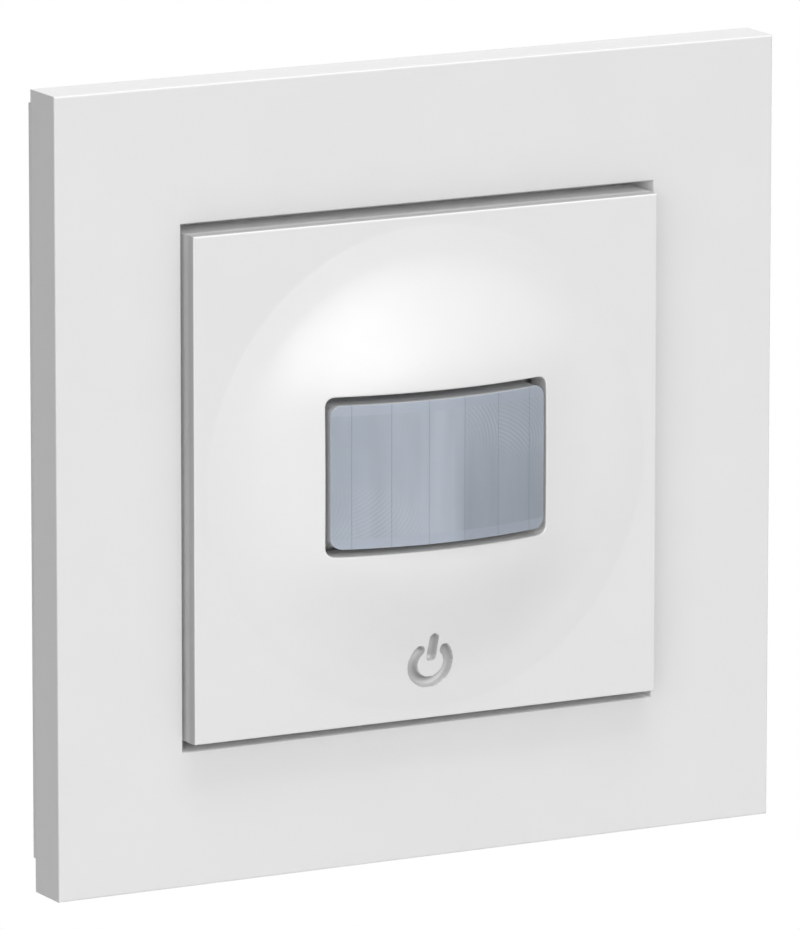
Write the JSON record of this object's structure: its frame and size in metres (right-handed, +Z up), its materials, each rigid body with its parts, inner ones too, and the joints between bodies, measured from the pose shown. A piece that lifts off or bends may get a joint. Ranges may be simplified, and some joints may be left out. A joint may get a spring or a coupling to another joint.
{
  "type": "motion sensor light switch",
  "caption": "Square flush-mounted light switch with a domed rocking key, a curved Fresnel lens in its window, a frame and a wall-box insert.",
  "frame": {"origin": "centre of the support ring's back face, on the surface of the wall", "axes": "+X to the right seen from the room, +Y into the wall, +Z up"},
  "size_m": [0.085, 0.0421, 0.085],
  "materials": {
    "white_gloss": "smooth gloss",
    "white_matte": "fine matte",
    "lens_plastic": "milky blue-grey, satin",
    "grey_plastic": "fine matte",
    "black_plastic": "matte",
    "red_plastic": "matte",
    "blue_plastic": "matte",
    "yellow_plastic": "matte",
    "orange_plastic": "matte",
    "insert_grey": "matte",
    "terminal_grey": "matte",
    "clear_plastic": "clear",
    "filter_dark": "dark coated",
    "can_metal": "satin",
    "contact_brass": "plated",
    "zinc_steel": "zinc plated",
    "spring_steel": "bright",
    "screw_steel": "zinc plated",
    "ferrite": "sintered",
    "copper": "enamelled wire",
    "fuse_glass": "clear",
    "board_green": "solder resist"
  },
  "bodies": {
    "device": {"cover_frame": "white_gloss", "frame_carrier": "white_matte", "fresnel_lens": "lens_plastic", "module_front": "white_matte", "module_back": "white_matte", "module_screws": "screw_steel", "sensor_board": "board_green", "pir_spacer": "black_plastic", "pir_can": "can_metal", "pir_filter": "filter_dark", "pir_leads": "can_metal", "light_sensor": "clear_plastic", "status_led": "clear_plastic", "switch_body": "black_plastic", "trimmer_bodies": "blue_plastic", "control_chip": "black_plastic", "board_capacitors": "can_metal", "plug_header": "black_plastic", "plug_pins": "contact_brass", "support_ring": "zinc_steel", "ring_screws": "screw_steel", "insert_housing": "insert_grey", "insert_lid": "insert_grey", "power_board": "board_green", "socket_strip": "black_plastic", "relay": "black_plastic", "film_capacitor": "yellow_plastic", "storage_capacitor": "can_metal", "choke_core": "ferrite", "choke_winding": "copper", "varistor": "blue_plastic", "fuse": "fuse_glass", "terminal_block": "terminal_grey", "release_guide": "terminal_grey", "clamp_springs": "zinc_steel", "key_spring_left": "spring_steel", "key_spring_right": "spring_steel"},
    "key": {"key_plate": "white_gloss"},
    "plunger": {"switch_plunger": "red_plastic"},
    "lux_dial": {"lux_dial": "grey_plastic"},
    "time_dial": {"time_dial": "grey_plastic"},
    "claw_left": {"claw_left": "zinc_steel"},
    "claw_right": {"claw_right": "zinc_steel"},
    "claw_screw_left": {"claw_screw_left": "screw_steel"},
    "claw_screw_right": {"claw_screw_right": "screw_steel"},
    "release_button_1": {"release_button_1": "orange_plastic"},
    "release_button_2": {"release_button_2": "orange_plastic"},
    "release_button_3": {"release_button_3": "orange_plastic"},
    "release_button_4": {"release_button_4": "orange_plastic"}
  },
  "joints": [
    {"name": "key_press", "type": "hinge", "parent": "device", "child": "key", "pos_m": [0, -0.0076, 0.0226], "axis": [1, 0, 0], "range_deg": [0, 1.15], "stiffness_Nm_per_rad": 3, "springref_deg": -1.15, "deforming": ["key_spring_left", "key_spring_right"]},
    {"name": "plunger_slide", "type": "slide", "parent": "device", "child": "plunger", "axis": [0, 1, 0], "range_m": [0, 0.00087]},
    {"name": "lux_turn", "type": "hinge", "parent": "device", "child": "lux_dial", "pos_m": [-0.015, -0.0079, -0.0145], "axis": [0, 1, 0], "range_deg": [-135, 135]},
    {"name": "time_turn", "type": "hinge", "parent": "device", "child": "time_dial", "pos_m": [0.015, -0.0079, -0.0145], "axis": [0, 1, 0], "range_deg": [-135, 135]},
    {"name": "claw_screw_right_turn", "type": "hinge", "parent": "device", "child": "claw_screw_right", "pos_m": [0.0258, 0, 0.0052], "axis": [0, 1, 0], "range_deg": [0, 360]},
    {"name": "claw_right_swing", "type": "hinge", "parent": "device", "child": "claw_right", "pos_m": [0.0239, 0.0046, 0.0052], "axis": [0, 0, -1], "range_deg": [0, 13.5]},
    {"name": "claw_screw_left_turn", "type": "hinge", "parent": "device", "child": "claw_screw_left", "pos_m": [-0.0258, 0, -0.0052], "axis": [0, 1, 0], "range_deg": [0, 360]},
    {"name": "claw_left_swing", "type": "hinge", "parent": "device", "child": "claw_left", "pos_m": [-0.0239, 0.0046, -0.0052], "axis": [0, 0, 1], "range_deg": [0, 13.5]},
    {"name": "release_1_press", "type": "slide", "parent": "device", "child": "release_button_1", "axis": [0, -1, 0], "range_m": [0, 0.001], "stiffness_N_per_m": 600, "springref_m": -0.001},
    {"name": "release_2_press", "type": "slide", "parent": "device", "child": "release_button_2", "axis": [0, -1, 0], "range_m": [0, 0.001], "stiffness_N_per_m": 600, "springref_m": -0.001},
    {"name": "release_3_press", "type": "slide", "parent": "device", "child": "release_button_3", "axis": [0, -1, 0], "range_m": [0, 0.001], "stiffness_N_per_m": 600, "springref_m": -0.001},
    {"name": "release_4_press", "type": "slide", "parent": "device", "child": "release_button_4", "axis": [0, -1, 0], "range_m": [0, 0.001], "stiffness_N_per_m": 600, "springref_m": -0.001}
  ],
  "couplings": [
    {"joint": "plunger_slide", "follows": "key_press", "m_per_rad": 0.0428},
    {"joint": "claw_right_swing", "follows": "claw_screw_right_turn", "ratio": 0.0375},
    {"joint": "claw_left_swing", "follows": "claw_screw_left_turn", "ratio": 0.0375}
  ]
}
